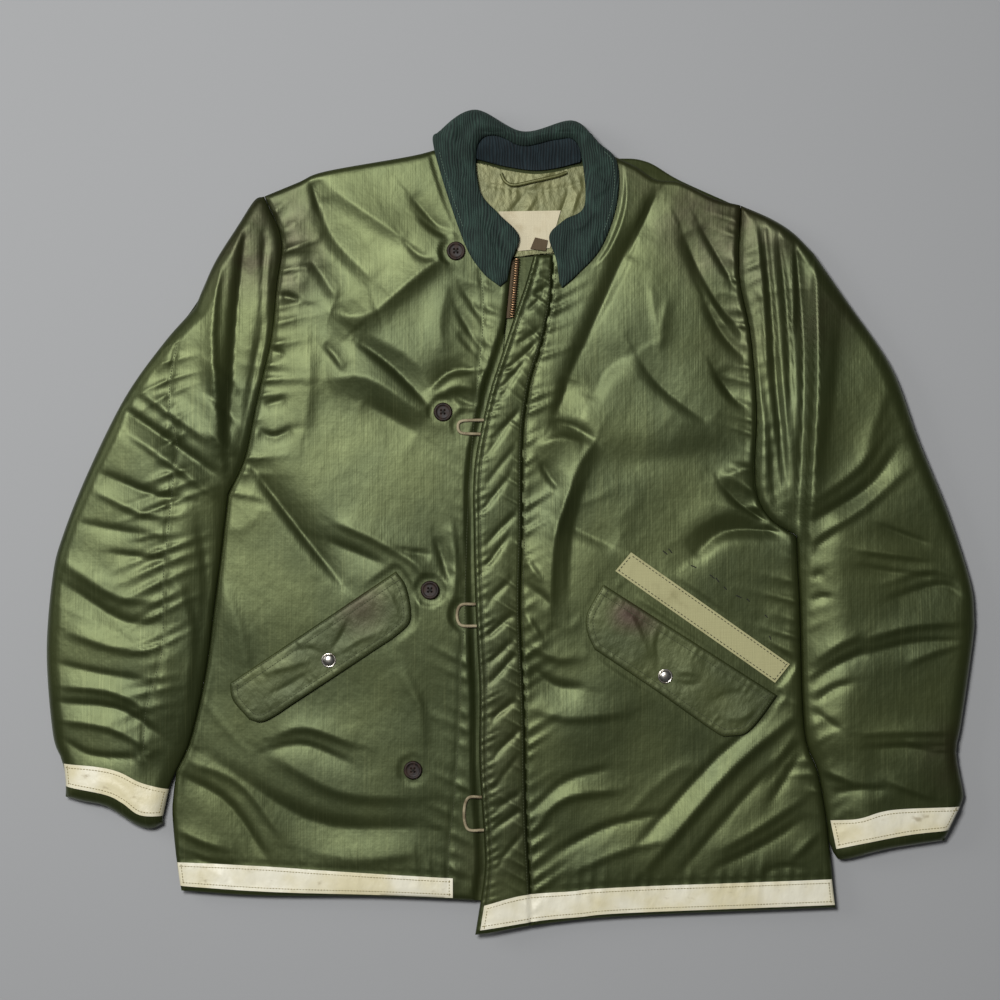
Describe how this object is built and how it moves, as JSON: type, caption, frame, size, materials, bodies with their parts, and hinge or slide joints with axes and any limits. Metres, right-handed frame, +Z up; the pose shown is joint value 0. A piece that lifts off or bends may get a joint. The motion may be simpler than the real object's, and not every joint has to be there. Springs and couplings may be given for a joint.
{
  "type": "cold weather jacket",
  "caption": "Padded cold weather jacket laid flat and open at the front, with a spread corduroy collar, storm flap, slanting pocket flaps and reflective tape at cuffs and hem.",
  "frame": {"origin": "on the surface that the jacket lies on, under the middle of its bounding box", "axes": "+X towards the wearer's left sleeve, +Y towards the collar, +Z up from the surface, out of the jacket's front"},
  "size_m": [0.929, 0.8254, 0.031],
  "materials": {
    "shell_satin": "shiny olive nylon satin over padding",
    "collar_corduroy": "dark green napped rib",
    "stand_cloth": "dark blue-green matt cloth",
    "lining_satin": "light olive quilted satin",
    "label_cloth": "cream woven label, bare",
    "reflective_tape": "cream worn coated tape",
    "name_tape_cloth": "khaki woven tape, bare",
    "zip_tape_cloth": "brown woven tape with bronze teeth",
    "loop_cord": "pale round cord",
    "button_plastic": "dark brown moulded plastic",
    "snap_metal": "worn nickel"
  },
  "bodies": {
    "root": {"back": "shell_satin", "button_1": "button_plastic", "button_2": "button_plastic", "button_3": "button_plastic", "button_4": "button_plastic", "collar": "collar_corduroy", "collar_stand": "stand_cloth", "cuff_tape_left": "reflective_tape", "cuff_tape_right": "reflective_tape", "fly_flap": "shell_satin", "front_left": "shell_satin", "front_right": "shell_satin", "hanger_loop": "stand_cloth", "hem_tape_left": "reflective_tape", "hem_tape_right": "reflective_tape", "label": "label_cloth", "loop_1": "loop_cord", "loop_2": "loop_cord", "loop_3": "loop_cord", "name_tape": "name_tape_cloth", "neck_lining": "lining_satin", "pocket_flap_left": "shell_satin", "pocket_flap_right": "shell_satin", "sleeve_left": "shell_satin", "sleeve_right": "shell_satin", "snap_left": "snap_metal", "snap_right": "snap_metal", "zip_tape_left": "zip_tape_cloth", "zip_tape_right": "zip_tape_cloth"}
  },
  "joints": []
}
